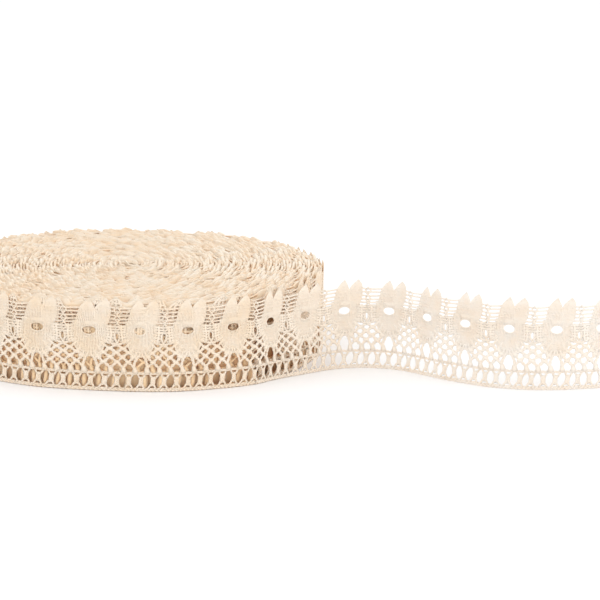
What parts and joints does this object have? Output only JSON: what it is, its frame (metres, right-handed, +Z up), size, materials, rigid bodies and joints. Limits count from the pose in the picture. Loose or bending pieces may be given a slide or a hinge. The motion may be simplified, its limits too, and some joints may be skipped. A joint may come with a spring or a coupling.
{
  "type": "roll of lace trim",
  "caption": "Flat roll of openwork cotton lace edging with a laddered foot edge and notched crowns on top, its loose end run out in a shallow wave.",
  "frame": {"origin": "middle of the roll's underside, on the surface it rests on", "axes": "+Z up, from the lace's foot edge to its crowns; +X the way the loose end runs out; -Y the front, which the picture looks at"},
  "size_m": [0.2301, 0.1295, 0.03],
  "materials": {
    "cotton": "matt ecru cotton thread"
  },
  "bodies": {
    "root": {"roll": "cotton", "loose_end": "cotton"}
  },
  "joints": []
}
